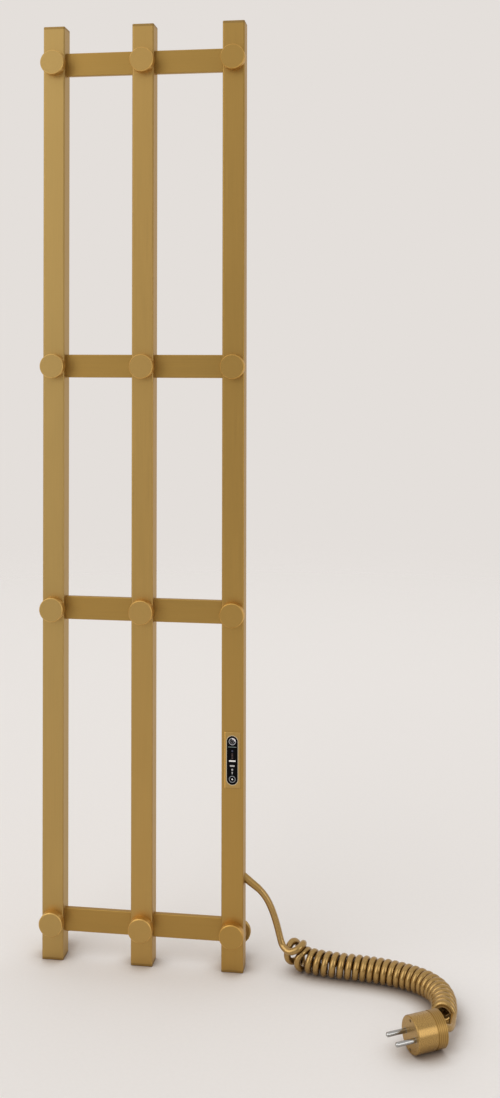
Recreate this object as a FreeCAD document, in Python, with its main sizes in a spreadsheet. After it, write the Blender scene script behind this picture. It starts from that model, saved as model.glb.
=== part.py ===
# Electric towel warmer rack: three upright posts, four crossbars, knobs, wall spacers, heating, controls
# and cord.
#
# Lengths are millimetres. +Z is up, +X runs to the right as seen from the front and +Y points to the wall.
# The origin lies on the floor, midway between the outer posts and midway between the faces of the knobs
# and the wall faces of the spacers.
import FreeCAD, Part
import math
import os
import re
import Sketcher

from FreeCAD import Placement, Rotation, Vector

DRIVING_SIZES = {
    # posts and caps
    "rack_height": 1067.0,
    "post_pitch": 103.8,
    "post_width": 25.0,
    "post_depth": 21.5,
    "post_wall": 1.5,
    "post_corner": 1.5,
    "cap_flange": 3.0,
    "cap_rim": 0.9,
    "cap_plug": 12.0,
    "push_fit": 0.05,
    # crossbars; the top one hangs from the rack's top, the others stand above the floor
    "bar_height": 26.2,
    "bar_thickness": 6.0,
    "bar_wall": 1.0,
    "bar_corner": 0.8,
    "bar_overrun": 8.0,
    "lowest_bar_z": 43.6,
    "lower_bar_z": 401.6,
    "upper_bar_z": 678.9,
    "top_bar_drop": 42.4,
    # knobs, their studs and the threaded bushes in the crossbars
    "knob_radius": 13.75,
    "knob_reach": 9.3,
    "knob_bevel": 0.8,
    "knob_bore": 6.0,
    "stud_radius": 3.0,
    "stud_setback": 0.5,
    "stud_clearance": 0.3,
    "bush_radius": 4.5,
    # wall spacers
    "wall_gap": 29.3,
    "spacer_radius": 10.0,
    "spacer_bevel": 0.6,
    "rosette_radius": 14.4,
    "rosette_thickness": 4.0,
    "rosette_bevel": 1.0,
    "spigot_radius": 7.5,
    "spigot_length": 8.0,
    "socket_depth": 14.0,
    "foot_spacer_z": 24.0,
    "top_spacer_drop": 32.5,
    "bolt_radius": 2.5,
    "bolt_head_radius": 4.25,
    "bolt_head_length": 5.0,
    "nut_radius": 5.0,
    "nut_length": 4.0,
    "grub_radius": 2.0,
    "wall_screw_radius": 2.25,
    # heating
    "heater_radius": 1.8,
    "heater_offset": 5.5,
    "heater_foot": 94.0,
    "heater_headroom": 3.0,
    "crimp_radius": 3.0,
    "crimp_length": 12.0,
    "wire_radius": 0.9,
    "wire_offset": 1.05,
    "wire_bend": 3.0,
    "wire_slot_length": 6.0,
    "wire_slot_offset": 7.2,
    "wire_ceiling_gap": 1.2,
    "wire_run_gap": 0.8,
    "wire_drop_offset": 1.4,
    "wire_rise": 8.0,
    "wire_end_run": 14.0,
    "tray_wire_gap": 0.1,
    "tray_wire_end_run": 16.0,
    "control_heater_rise": 38.0,
    "sensor_rise": 32.0,
    "sensor_wire_end_run": 10.0,
    "sensor_radius": 2.0,
    "sensor_length": 14.0,
    "cutout_radius": 2.5,
    "cutout_length": 14.0,
    "cutout_gap": 8.0,
    # control unit
    "control_z": 238.2,
    "bezel_width": 18.4,
    "bezel_height": 63.0,
    "bezel_reach": 1.0,
    "bezel_bevel": 0.5,
    "collar_width": 15.0,
    "collar_height": 59.6,
    "collar_depth": 3.0,
    "lens_width": 11.8,
    "lens_height": 54.0,
    "lens_setback": 0.2,
    "lens_thickness": 2.0,
    "lens_margin": 0.8,
    "button_radius": 4.2,
    "button_gap": 0.25,
    "button_rise": 0.1,
    "button_flange": 5.3,
    "button_flange_thickness": 0.8,
    "button_stem_radius": 2.0,
    "button_stem_length": 1.4,
    "button_travel": 0.5,
    "switch_size": 6.0,
    "switch_gap": 0.05,
    "tray_width": 14.6,
    "tray_height": 59.2,
    "tray_depth": 9.4,
    "tray_wall": 1.0,
    "board_thickness": 1.2,
    "board_clearance": 0.1,
    "board_setback": 1.0,
    "board_screw_inset": 2.6,
    "board_screw_radius": 0.8,
    "board_screw_head": 1.5,
    "board_boss_radius": 1.8,
    "display_width": 9.0,
    "display_height": 26.0,
    "display_gap": 0.2,
    # terminal block
    "terminal_z": 166.0,
    "terminal_width": 19.0,
    "terminal_depth": 12.0,
    "terminal_height": 20.0,
    "tray_wire_pitch": 4.0,
    # cord, gland and strain relief
    "cord_radius": 3.8,
    "coil_radius": 13.5,
    "coil_floor_gap": 0.1,
    "exit_z": 102.0,
    "exit_offset": 3.0,
    "exit_dip": 37.7,
    "gland_wall": 1.15,
    "gland_depth": 9.0,
    "gland_overrun": 2.0,
    "relief_root_wall": 0.55,
    "relief_tip_wall": 0.2,
    "relief_seat": 6.5,
    "supply_run": 17.0,
    "supply_drop": 18.0,
    "relief_shoulder": 3.0,
    "relief_length": 13.7,
    # plug; its place is the centre of the face that the pins stand on
    "plug_x": 302.2,
    "plug_y": -149.6,
    "plug_heading": -150.0,
    "plug_radius": 18.0,
    "plug_front": 21.6,
    "plug_rim": 1.2,
    "plug_seam": 1.6,
    "plug_seam_depth": 0.5,
    "plug_cover": 10.0,
    "plug_cord_seat": 8.0,
    "pin_radius": 2.4,
    "pin_root_radius": 2.8,
    "pin_length": 21.6,
    "pin_seat": 10.0,
    "pin_spacing": 19.0,
    "pin_bevel": 1.2,
    "face_screw_radius": 1.4,
    "face_screw_offset": 14.4,
    "face_screw_setback": 0.7,
    "face_screw_length": 14.0,
}

WORKED_OUT_SIZES = {
    "post_y": "=(knob_reach - wall_gap) / 2",
    "front_y": "=post_y - post_depth / 2",
    "back_y": "=post_y + post_depth / 2",
    "wall_y": "=back_y + wall_gap",
    "top_bar_z": "=rack_height - top_bar_drop",
    "top_spacer_z": "=rack_height - top_spacer_drop",
    "bush_end_y": "=post_y + bar_thickness / 2",
    "inner_back_y": "=back_y - post_wall",
    "heater_y": "=(bush_end_y + inner_back_y) / 2",
    "crimp_y": "=min(heater_y; inner_back_y - crimp_radius - push_fit)",
    "heater_top": "=top_bar_z - bar_height / 2 - heater_headroom",
    "spacer_length": "=wall_gap - rosette_thickness",
    "exit_x": "=post_pitch + post_width / 2",
    "exit_y": "=post_y + exit_offset",
    "dip_across": "=cos(exit_dip * 1 deg)",
    "dip_down": "=sin(exit_dip * 1 deg)",
    "button_spread": "=(lens_height - lens_width) / 2",
    "lens_front_y": "=front_y - bezel_reach + lens_setback",
    "lens_step_y": "=lens_front_y + lens_thickness",
    "collar_end_y": "=front_y + collar_depth",
    "tray_end_y": "=collar_end_y + tray_depth",
    "board_back_y": "=tray_end_y - tray_wall - board_setback",
    "board_front_y": "=board_back_y - board_thickness",
    "button_back_y": "=collar_end_y + button_flange_thickness + button_stem_length",
    "switch_front_y": "=button_back_y + button_travel + switch_gap",
    "board_width": "=tray_width - 2 * tray_wall - 2 * board_clearance",
    "board_height": "=tray_height - 2 * tray_wall - 2 * board_clearance",
    "tray_top": "=control_z + tray_height / 2",
    "tray_bottom": "=control_z - tray_height / 2",
    "terminal_y": "=inner_back_y - terminal_depth / 2",
    "terminal_top": "=terminal_z + terminal_height",
    "tray_wire_y": "=tray_end_y - wire_radius - tray_wire_gap",
    "control_heater_foot": "=tray_top + control_heater_rise",
    "sensor_y": "=inner_back_y - sensor_radius - push_fit",
    "sensor_foot": "=tray_top + sensor_rise",
    "cutout_y": "=inner_back_y - cutout_radius - push_fit",
    "cutout_foot": "=sensor_foot + sensor_length + cutout_gap",
    "relief_root": "=cord_radius + push_fit + relief_root_wall",
    "relief_tip": "=cord_radius + push_fit + relief_tip_wall",
    "gland_radius": "=relief_root + push_fit + gland_wall",
    "plug_length": "=plug_front + plug_seam + plug_cover",
}

POSTS = {"left": "-post_pitch", "middle": "0", "right": "post_pitch"}
BARS = {"lowest": "lowest_bar_z", "lower": "lower_bar_z", "upper": "upper_bar_z", "top": "top_bar_z"}
SPACERS = {
    "lower_left": ("-post_pitch", "foot_spacer_z"),
    "lower_right": ("post_pitch", "foot_spacer_z"),
    "upper_middle": ("0", "top_spacer_z"),
}

# The lead from the strain relief to the curly stretch, as the corners of its route.
CORD_LEAD_BENDS = [
    (139.24, -7.0, 84.27),
    (150.0, -10.5, 63.0),
    (162.5, -19.5, 28.5),
    (180.0, -6.5, 20.0),
]
# The middle line of the curly stretch, which lies on the floor.
COIL_ROUTE = [
    (165.8, -0.8),
    (190.0, -9.0),
    (214.0, -14.0),
    (241.0, -16.2),
    (268.0, -19.6),
    (290.0, -25.2),
    (308.0, -32.8),
    (322.0, -42.5),
    (332.0, -55.5),
    (337.0, -71.0),
    (337.5, -86.0),
    (336.4, -98.0),
    (334.4, -108.0),
]
# The short tail between the curly stretch and the plug; its last stretch lies on the plug's axis.
CORD_TAIL_BENDS = [
    (343.4, -100.0, 13.8),
    (342.3, -117.0, 17.0),
]
TAIL_RUN_BEHIND_PLUG = 6.4
# The supply lead's lower bend inside the right post, measured from its upper bend.
SUPPLY_LOWER_BEND = Vector(0.8, -0.6, -18.0)
ARC_SHARE = 0.45

doc = FreeCAD.newDocument("towel_warmer_rack")
sheet = doc.addObject("Spreadsheet::Sheet", "sizes")
nodes = []


# ---------------------------------------------------------------------------------------------- sizes


def fill_sheet():
    """One row for each size: its name, and its value in a cell that carries the name as its alias."""
    rows = list(DRIVING_SIZES.items()) + list(WORKED_OUT_SIZES.items())
    for row, (name, value) in enumerate(rows, start=1):
        sheet.set(f"A{row}", name)
        sheet.set(f"B{row}", str(value))
        sheet.setAlias(f"B{row}", name)
    doc.recompute()


def size(name):
    """A size from the sheet as a plain number."""
    return float(sheet.get(name))


def formula(text):
    """The text with each size's name pointed at the sheet."""
    return re.sub(r"[a-z][a-z0-9_]+", lambda found: "sizes." + found.group(0), text)


def bind(thing, prop, text):
    thing.setExpression(prop, formula(text))


def place(thing, x="0", y="0", z="0", rotation=None):
    """Put an object at a place worked out from the sizes."""
    if rotation is not None:
        thing.Placement = Placement(Vector(), rotation)
    for axis, text in (("x", x), ("y", y), ("z", z)):
        bind(thing, "Placement.Base." + axis, text)
    return thing


def keep(thing, label):
    """Mark an object as a finished sub-part."""
    thing.Label = label
    nodes.append(thing)
    return thing


# ------------------------------------------------------------------------------ bodies and sketches


def new_body(name, x="0", y="0", z="0", rotation=None):
    body = doc.addObject("PartDesign::Body", name)
    return place(body, x, y, z, rotation)


def new_sketch(body, role, offset="0"):
    """A sketch on one of the body's own origin planes, moved along the plane's normal by offset."""
    plane = next(item for item in body.Origin.OriginFeatures if item.Role == role)
    sketch = body.newObject("Sketcher::SketchObject", body.Name + "_sketch")
    sketch.AttachmentSupport = (plane, [""])
    sketch.MapMode = "FlatFace"
    bind(sketch, "AttachmentOffset.Base.z", offset)
    return sketch


def constrain(sketch, values, text):
    """Add one dimension to a sketch and tie it to the sizes."""
    index = sketch.addConstraint(Sketcher.Constraint(*values))
    name = f"dimension_{index}"
    sketch.renameConstraint(index, name)
    bind(sketch, "Constraints." + name, text)


def rectangle(sketch, width, height, across="0", up="0"):
    """A rectangle of width by height whose centre lies at (across, up)."""
    corners = [Vector(-1, -1, 0), Vector(1, -1, 0), Vector(1, 1, 0), Vector(-1, 1, 0)]
    sides = [Part.LineSegment(corners[i], corners[(i + 1) % 4]) for i in range(4)]
    first = sketch.addGeometry(sides, False)[0]
    for i in range(4):
        sketch.addConstraint(Sketcher.Constraint("Coincident", first + i, 2, first + (i + 1) % 4, 1))
    for i in (0, 2):
        sketch.addConstraint(Sketcher.Constraint("Horizontal", first + i))
        sketch.addConstraint(Sketcher.Constraint("Vertical", first + i + 1))
    constrain(sketch, ("DistanceX", first, 1, first, 2, 2.0), width)
    constrain(sketch, ("DistanceY", first + 1, 1, first + 1, 2, 2.0), height)
    constrain(sketch, ("DistanceX", -1, 1, first, 1, -1.0), f"{across} - ({width}) / 2")
    constrain(sketch, ("DistanceY", -1, 1, first, 1, -1.0), f"{up} - ({height}) / 2")


def circle(sketch, radius, across="0", up="0"):
    """A circle whose centre lies at (across, up)."""
    index = sketch.addGeometry(Part.Circle(Vector(1, 1, 0), Vector(0, 0, 1), 1.0), False)
    constrain(sketch, ("Radius", index, 1.0), radius)
    constrain(sketch, ("DistanceX", -1, 1, index, 3, 1.0), across)
    constrain(sketch, ("DistanceY", -1, 1, index, 3, 1.0), up)


def pad(body, sketch, length, reverse=False, both_ways=False):
    feature = body.newObject("PartDesign::Pad", body.Name + "_pad")
    feature.Profile = sketch
    feature.Reversed = reverse
    feature.Midplane = both_ways
    bind(feature, "Length", length)
    doc.recompute()
    return feature


def pocket(body, sketch, length="", reverse=False):
    """Cut a sketch into the body, to a length, or through everything both ways where none is given."""
    before = body.Shape.Volume
    feature = body.newObject("PartDesign::Pocket", body.Name + "_pocket")
    feature.Profile = sketch
    feature.Reversed = reverse
    if length:
        bind(feature, "Length", length)
    else:
        feature.Type = "ThroughAll"
        feature.Midplane = True
    doc.recompute()
    if body.Shape.Volume > before - 0.01:
        raise RuntimeError(f"{feature.Name} cuts nothing")
    return feature


def dress(body, kind, base, edges, amount):
    """Round (Fillet) or bevel (Chamfer) the listed edges of a feature."""
    feature = body.newObject("PartDesign::" + kind, body.Name + "_" + kind.lower())
    feature.Base = (base, edges)
    bind(feature, "Radius" if kind == "Fillet" else "Size", amount)
    doc.recompute()
    return feature


def edges_where(feature, test):
    """Names of the feature's edges whose curve passes the test."""
    return [f"Edge{n}" for n, edge in enumerate(feature.Shape.Edges, start=1) if test(edge)]


def runs_along(direction):
    """A test for straight edges that run along a direction."""
    def test(edge):
        if not isinstance(edge.Curve, Part.Line):
            return False
        return abs(abs(edge.Curve.Direction.dot(direction)) - 1) < 1e-6
    return test


def lies_at(axis, value):
    """A test for edges that lie wholly at one value of x, y or z, in the body's own frame."""
    def test(edge):
        low = getattr(edge.BoundBox, axis + "Min")
        high = getattr(edge.BoundBox, axis + "Max")
        return abs(low - value) < 1e-4 and abs(high - value) < 1e-4
    return test


# -------------------------------------------------------------------------------- primitive pieces

ALONG_Y = Rotation(Vector(1, 0, 0), -90)
ALONG_X = Rotation(Vector(0, 1, 0), 90)


def rod(name, radius, length, x="0", y="0", z="0", rotation=ALONG_Y):
    """A cylinder that starts at a point and runs along +Y unless it is turned."""
    piece = doc.addObject("Part::Cylinder", name)
    bind(piece, "Radius", radius)
    bind(piece, "Height", length)
    return place(piece, x, y, z, rotation)


def taper(name, first, second, length, x="0", y="0", z="0", rotation=ALONG_Y):
    """A cone that starts at a point and runs along +Y unless it is turned."""
    piece = doc.addObject("Part::Cone", name)
    bind(piece, "Radius1", first)
    bind(piece, "Radius2", second)
    bind(piece, "Height", length)
    return place(piece, x, y, z, rotation)


def block(name, width, depth, height, x="0", y="0", z="0"):
    """A box that is centred in X and Z on a point and runs along +Y from it."""
    piece = doc.addObject("Part::Box", name)
    bind(piece, "Length", width)
    bind(piece, "Width", depth)
    bind(piece, "Height", height)
    return place(piece, f"{x} - ({width}) / 2", y, f"{z} - ({height}) / 2")


def cut(name, base, *tools):
    """The base with every tool taken away in turn."""
    result = base
    for number, tool in enumerate(tools, start=1):
        step = doc.addObject("Part::Cut", f"{name}_cut_{number}")
        step.Base = result
        step.Tool = tool
        result = step
    doc.recompute()
    return result


def fuse(name, *pieces):
    joined = doc.addObject("Part::MultiFuse", name + "_fuse")
    joined.Shapes = list(pieces)
    joined.Refine = True
    doc.recompute()
    return joined


def group(label, pieces):
    """Several separate solids of one kind as one sub-part."""
    together = doc.addObject("Part::Compound", label)
    together.Links = list(pieces)
    return keep(together, label)


def pill(name, width, height, depth, x, y, z):
    """An upright slab with round ends that runs along +Y from a point."""
    middle = block(name + "_middle", width, depth, f"{height} - ({width})", x, y, z)
    ends = []
    for sign in ("-", "+"):
        end_z = f"{z} {sign} ({height} - ({width})) / 2"
        ends.append(rod(name + "_end", f"({width}) / 2", depth, x, y, end_z))
    return fuse(name, middle, *ends)


# --------------------------------------------------------------------------------- tubes along routes


def route_wire(points, widest_bend=None):
    """Straight runs joined by tangent arcs, each as large as its two runs allow; radii come back too."""
    points = [Vector(*point) for point in points]
    edges = []
    radii = []
    start = points[0]
    for before, corner, after in zip(points, points[1:], points[2:]):
        incoming = (corner - before).normalize()
        outgoing = (after - corner).normalize()
        half_turn = incoming.getAngle(outgoing) / 2
        shorter = min((corner - before).Length, (after - corner).Length)
        radius = ARC_SHARE * shorter / math.tan(half_turn)
        if widest_bend is not None:
            radius = min(radius, widest_bend)
        reach = radius * math.tan(half_turn)
        enter = corner - incoming * reach
        leave = corner + outgoing * reach
        towards_centre = (outgoing - incoming).normalize()
        top = corner + towards_centre * (radius / math.cos(half_turn) - radius)
        edges.append(Part.LineSegment(start, enter).toShape())
        edges.append(Part.Arc(enter, top, leave).toShape())
        radii.append(radius)
        start = leave
    edges.append(Part.LineSegment(start, points[-1]).toShape())
    return Part.Wire(edges), radii


def swept_tube(wire, radius):
    """A round solid along a wire; its volume has to be its section times its length."""
    start = wire.Edges[0]
    direction = start.tangentAt(start.FirstParameter)
    section = Part.Wire(Part.makeCircle(radius, start.valueAt(start.FirstParameter), direction))
    tube = wire.makePipeShell([section], True, False)
    if tube.ShapeType != "Solid":
        tube = Part.Solid(Part.Shell(tube.Faces))
    expected = math.pi * radius ** 2 * wire.Length
    if abs(tube.Volume / expected - 1) > 0.01:
        raise RuntimeError(f"tube volume {tube.Volume:.1f} is not {expected:.1f}")
    return tube


def shaped(label, shape):
    """A sub-part whose shape is worked out here."""
    piece = doc.addObject("Part::Feature", label)
    piece.Shape = shape
    return keep(piece, label)


# ---------------------------------------------------------------------------------- posts and caps


def make_post(side, slot_walls, spacer_z=None):
    """One upright tube with a slot for each crossbar and a hole for each knob's stud."""
    body = new_body(side + "_post_tube", x=POSTS[side], y="post_y")
    outline = new_sketch(body, "XY_Plane", "cap_flange")
    rectangle(outline, "post_width", "post_depth")
    tube = pad(body, outline, "rack_height - 2 * cap_flange")
    upright = edges_where(tube, runs_along(Vector(0, 0, 1)))
    dress(body, "Fillet", tube, upright, "post_corner")
    cavity = new_sketch(body, "XY_Plane", "cap_flange")
    rectangle(cavity, "post_width - 2 * post_wall", "post_depth - 2 * post_wall")
    pocket(body, cavity)
    for towards_right in slot_walls:
        slots = new_sketch(body, "YZ_Plane")
        for z in BARS.values():
            rectangle(slots, "bar_thickness + 2 * push_fit", "bar_height + 2 * push_fit", up=z)
        pocket(body, slots, "post_width", reverse=towards_right)
    holes = new_sketch(body, "XZ_Plane")
    for z in BARS.values():
        circle(holes, "stud_radius + stud_clearance", up=z)
    pocket(body, holes, "post_depth", reverse=True)
    if spacer_z:
        back_hole = new_sketch(body, "XZ_Plane")
        circle(back_hole, "bolt_radius + stud_clearance", up=spacer_z)
        pocket(body, back_hole, "post_depth")
    return body


def make_posts():
    keep(make_post("left", [True], "foot_spacer_z"), "left_post")
    keep(make_post("middle", [True, False], "top_spacer_z"), "middle_post")
    right = make_post("right", [False], "foot_spacer_z")
    window = new_sketch(right, "XZ_Plane")
    rectangle(window, "collar_width + 2 * push_fit", "collar_height + 2 * push_fit", up="control_z")
    pocket(right, window, "post_depth", reverse=True)
    gland_hole = slanted_rod("gland_hole", "gland_radius + push_fit", "-gland_depth - gland_overrun",
                             "2 * (gland_depth + gland_overrun)")
    keep(cut("right_post", right, gland_hole), "right_post")


def make_cap(side, end):
    """A push-in cap: a flange the size of the post with rounded rims, and a plug that fills the tube."""
    name = f"{side}_{end}_cap"
    if end == "foot":
        body = new_body(name, x=POSTS[side], y="post_y")
    else:
        turned_over = Rotation(Vector(1, 0, 0), 180)
        body = new_body(name, x=POSTS[side], y="post_y", z="rack_height", rotation=turned_over)
    outline = new_sketch(body, "XY_Plane")
    rectangle(outline, "post_width", "post_depth")
    flange = pad(body, outline, "cap_flange")
    upright = edges_where(flange, runs_along(Vector(0, 0, 1)))
    rounded = dress(body, "Fillet", flange, upright, "post_corner")
    rim = edges_where(rounded, lies_at("Z", 0))
    dress(body, "Fillet", rounded, rim, "cap_rim")
    inside = new_sketch(body, "XY_Plane", "cap_flange")
    plug_width = "post_width - 2 * post_wall - 2 * push_fit"
    plug_depth = "post_depth - 2 * post_wall - 2 * push_fit"
    rectangle(inside, plug_width, plug_depth)
    pad(body, inside, "cap_plug")
    keep(body, name)


# ---------------------------------------------------------------------------------------- crossbars


def make_bar(level):
    """A flat hollow bar with a hole for the threaded bush at each post."""
    body = new_body(level + "_crossbar", y="post_y", z=BARS[level])
    section = new_sketch(body, "YZ_Plane")
    rectangle(section, "bar_thickness", "bar_height")
    bar = pad(body, section, "2 * (post_pitch + bar_overrun)", both_ways=True)
    long_edges = edges_where(bar, runs_along(Vector(1, 0, 0)))
    dress(body, "Fillet", bar, long_edges, "bar_corner")
    inside = new_sketch(body, "YZ_Plane")
    rectangle(inside, "bar_thickness - 2 * bar_wall", "bar_height - 2 * bar_wall")
    pocket(body, inside)
    bush_holes = new_sketch(body, "XZ_Plane")
    for x in POSTS.values():
        circle(bush_holes, "bush_radius + push_fit", across=x)
    pocket(body, bush_holes)
    if level == "lowest":
        wire_slots = new_sketch(body, "XY_Plane")
        inner_width = "bar_thickness - 2 * bar_wall"
        for x in ("wire_slot_offset - post_pitch", "wire_slot_offset", "post_pitch - wire_slot_offset"):
            rectangle(wire_slots, "wire_slot_length", inner_width, across=x)
        pocket(body, wire_slots, "bar_height", reverse=True)
    keep(body, level + "_crossbar")


# ------------------------------------------------------------------------ knobs, studs and bushes


def make_knob(level, side):
    """A flat round knob with a bevelled face and a threaded blind bore in its back."""
    name = f"{level}_{side}_knob"
    body = new_body(name, x=POSTS[side], y="front_y", z=BARS[level])
    outline = new_sketch(body, "XZ_Plane")
    circle(outline, "knob_radius")
    disc = pad(body, outline, "knob_reach")
    face_edge = edges_where(disc, lies_at("Y", -size("knob_reach")))
    dress(body, "Chamfer", disc, face_edge, "knob_bevel")
    bore = new_sketch(body, "XZ_Plane")
    circle(bore, "stud_radius + push_fit")
    pocket(body, bore, "knob_bore", reverse=True)
    keep(body, name)


def make_knobs_and_fixings():
    studs = []
    bushes = []
    for level, z in BARS.items():
        for side, x in POSTS.items():
            make_knob(level, side)
            stud_start = "front_y - knob_bore + stud_setback"
            stud_length = "bush_end_y - front_y + knob_bore - 2 * stud_setback"
            studs.append(rod("stud", "stud_radius", stud_length, x, stud_start, z))
            bush_start = "front_y + post_wall"
            bush_length = "bush_end_y - front_y - post_wall"
            outside = rod("bush", "bush_radius", bush_length, x, bush_start, z)
            thread = rod("bush_thread", "stud_radius + push_fit", bush_length, x, bush_start, z)
            bushes.append(cut("bush", outside, thread))
    group("knob_studs", studs)
    group("bar_bushes", bushes)


# ------------------------------------------------------------------------------------ wall spacers


def make_spacer(name, x, z):
    """A round stem behind a post, with a socket for the rosette's spigot and a hole for its bolt."""
    body = new_body(name + "_spacer", x=x, y="back_y", z=z)
    outline = new_sketch(body, "XZ_Plane")
    circle(outline, "spacer_radius")
    stem = pad(body, outline, "spacer_length", reverse=True)
    ends = edges_where(stem, lies_at("Y", 0)) + edges_where(stem, lies_at("Y", size("spacer_length")))
    dress(body, "Chamfer", stem, ends, "spacer_bevel")
    socket = new_sketch(body, "XZ_Plane", "-spacer_length")
    circle(socket, "spigot_radius + push_fit")
    pocket(body, socket, "socket_depth", reverse=True)
    bolt_hole = new_sketch(body, "XZ_Plane")
    circle(bolt_hole, "bolt_radius + stud_clearance")
    pocket(body, bolt_hole)
    grub_hole = new_sketch(body, "XY_Plane")
    circle(grub_hole, "grub_radius + push_fit", up="spacer_length - spigot_length / 2")
    pocket(body, grub_hole, "spacer_radius")
    keep(body, name + "_spacer")


def make_rosette(x, z):
    """The round wall plate that a spacer slips onto, with a hole for a wall screw."""
    front = "wall_y - rosette_thickness"
    plate = rod("rosette_plate", "rosette_radius", "rosette_thickness - rosette_bevel", x,
                front + " + rosette_bevel", z)
    bevel = taper("rosette_bevel_piece", "rosette_radius - rosette_bevel", "rosette_radius", "rosette_bevel",
                  x, front, z)
    spigot = rod("rosette_spigot", "spigot_radius", "spigot_length", x, front + " - spigot_length", z)
    joined = fuse("rosette", plate, bevel, spigot)
    screw_hole = rod("rosette_hole", "wall_screw_radius", "spigot_length + rosette_thickness", x,
                     front + " - spigot_length", z)
    return cut("rosette", joined, screw_hole)


def make_spacers():
    rosettes = []
    nuts = []
    bolts = []
    grub_screws = []
    for name, (x, z) in SPACERS.items():
        make_spacer(name, x, z)
        rosettes.append(make_rosette(x, z))
        nut_start = "inner_back_y - nut_length"
        nut = rod("nut", "nut_radius", "nut_length", x, nut_start, z)
        thread = rod("nut_thread", "bolt_radius + push_fit", "nut_length", x, nut_start, z)
        nuts.append(cut("nut", nut, thread))
        shoulder = "back_y + spacer_length - socket_depth"
        head = rod("bolt_head", "bolt_head_radius", "bolt_head_length", x, shoulder, z)
        shank = rod("bolt_shank", "bolt_radius", f"{shoulder} - ({nut_start})", x, nut_start, z)
        bolts.append(fuse("bolt", head, shank))
        grub_y = "back_y + spacer_length - spigot_length / 2"
        grub_screws.append(rod("grub", "grub_radius", "spacer_radius - spigot_radius - stud_setback",
                               x, grub_y, f"{z} - spacer_radius + stud_setback", rotation=Rotation()))
    group("wall_rosettes", rosettes)
    group("spacer_nuts", nuts)
    group("spacer_bolts", bolts)
    group("spacer_grub_screws", grub_screws)


# ------------------------------------------------------------------------------ heating and wiring


def heating_loop(post_x, foot):
    """One cable that runs up behind the crossbars, turns round and comes back down."""
    offset = size("heater_offset")
    y = size("heater_y")
    bend = size("heater_top") - size("heater_radius") - offset
    legs = (post_x - offset, post_x + offset)
    up = Part.LineSegment(Vector(legs[0], y, foot), Vector(legs[0], y, bend))
    over = Part.Arc(Vector(legs[0], y, bend), Vector(post_x, y, bend + offset), Vector(legs[1], y, bend))
    down = Part.LineSegment(Vector(legs[1], y, bend), Vector(legs[1], y, foot))
    wire = Part.Wire([edge.toShape() for edge in (up, over, down)])
    return swept_tube(wire, size("heater_radius"))


def crimp(post_x, leg_x, foot):
    """A sleeve that joins a heating cable's end to its wire, bored to the size of each; clear of the post."""
    half = size("crimp_length") / 2
    fit = size("push_fit")
    bottom = Vector(post_x + leg_x, size("heater_y"), foot - half)
    outside = Vector(post_x + leg_x, size("crimp_y"), foot - half)
    sleeve = Part.makeCylinder(size("crimp_radius"), 2 * half, outside)
    wire_bore = Part.makeCylinder(size("wire_radius") + fit, half, bottom)
    cable_bore = Part.makeCylinder(size("heater_radius") + fit, half, bottom + Vector(0, 0, half))
    return sleeve.cut(wire_bore).cut(cable_bore)


def wire_tube(points):
    return swept_tube(route_wire(points, size("wire_bend"))[0], size("wire_radius"))


def bar_wires(post_x, run_z, drop_x):
    """Two wires from the terminal block down into the lowest crossbar and along it to one post's crimps."""
    offset = size("wire_offset")
    rise_x = post_x + size("wire_slot_offset")
    bar_top = size("lowest_bar_z") + size("bar_height") / 2
    foot = size("heater_foot")
    tubes = []
    for depth, leg in ((offset, size("heater_offset")), (-offset, -size("heater_offset"))):
        y = size("post_y") + depth
        leg_x = post_x + leg
        points = [
            (drop_x, y, size("terminal_z")),
            (drop_x, y, run_z),
            (rise_x, y, run_z),
            (rise_x, y, bar_top + size("wire_rise")),
            (leg_x, size("heater_y"), foot - size("wire_end_run")),
            (leg_x, size("heater_y"), foot),
        ]
        tubes.append(wire_tube(points))
    return tubes


def make_heating():
    pitch = size("post_pitch")
    foot = size("heater_foot")
    control_foot = size("control_heater_foot")
    feet = {-pitch: foot, 0.0: foot, pitch: control_foot}
    loops = [heating_loop(x, z) for x, z in feet.items()]
    shaped("heating_cables", Part.makeCompound(loops))
    legs = (-size("heater_offset"), size("heater_offset"))
    crimps = [crimp(x, leg, z) for x, z in feet.items() for leg in legs]
    shaped("heater_crimps", Part.makeCompound(crimps))
    radius = size("wire_radius")
    inner_top = size("lowest_bar_z") + size("bar_height") / 2 - size("bar_wall")
    high_run = inner_top - radius - size("wire_ceiling_gap")
    low_run = high_run - 2 * radius - size("wire_run_gap")
    drop_x = pitch - size("wire_slot_offset")
    wires = bar_wires(0.0, high_run, drop_x - size("wire_drop_offset"))
    wires += bar_wires(-pitch, low_run, drop_x + size("wire_drop_offset"))
    tray_top = size("tray_top")
    rise_top = tray_top + size("wire_rise")
    exit_y = size("tray_wire_y")
    for leg in legs:
        points = [
            (pitch + leg, exit_y, tray_top),
            (pitch + leg, exit_y, rise_top),
            (pitch + leg, size("heater_y"), control_foot - size("tray_wire_end_run")),
            (pitch + leg, size("heater_y"), control_foot),
        ]
        wires.append(wire_tube(points))
    sensor_foot = size("sensor_foot")
    points = [
        (pitch, exit_y, tray_top),
        (pitch, exit_y, rise_top),
        (pitch, size("sensor_y"), sensor_foot - size("sensor_wire_end_run")),
        (pitch, size("sensor_y"), sensor_foot),
    ]
    wires.append(wire_tube(points))
    wires_to_tray = (-size("tray_wire_pitch"), 0.0, size("tray_wire_pitch"))
    for offset in wires_to_tray:
        bottom = Vector(pitch + offset, exit_y, size("terminal_top"))
        wires.append(Part.makeCylinder(radius, size("tray_bottom") - size("terminal_top"), bottom))
    shaped("lead_wires", Part.makeCompound(wires))


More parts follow.
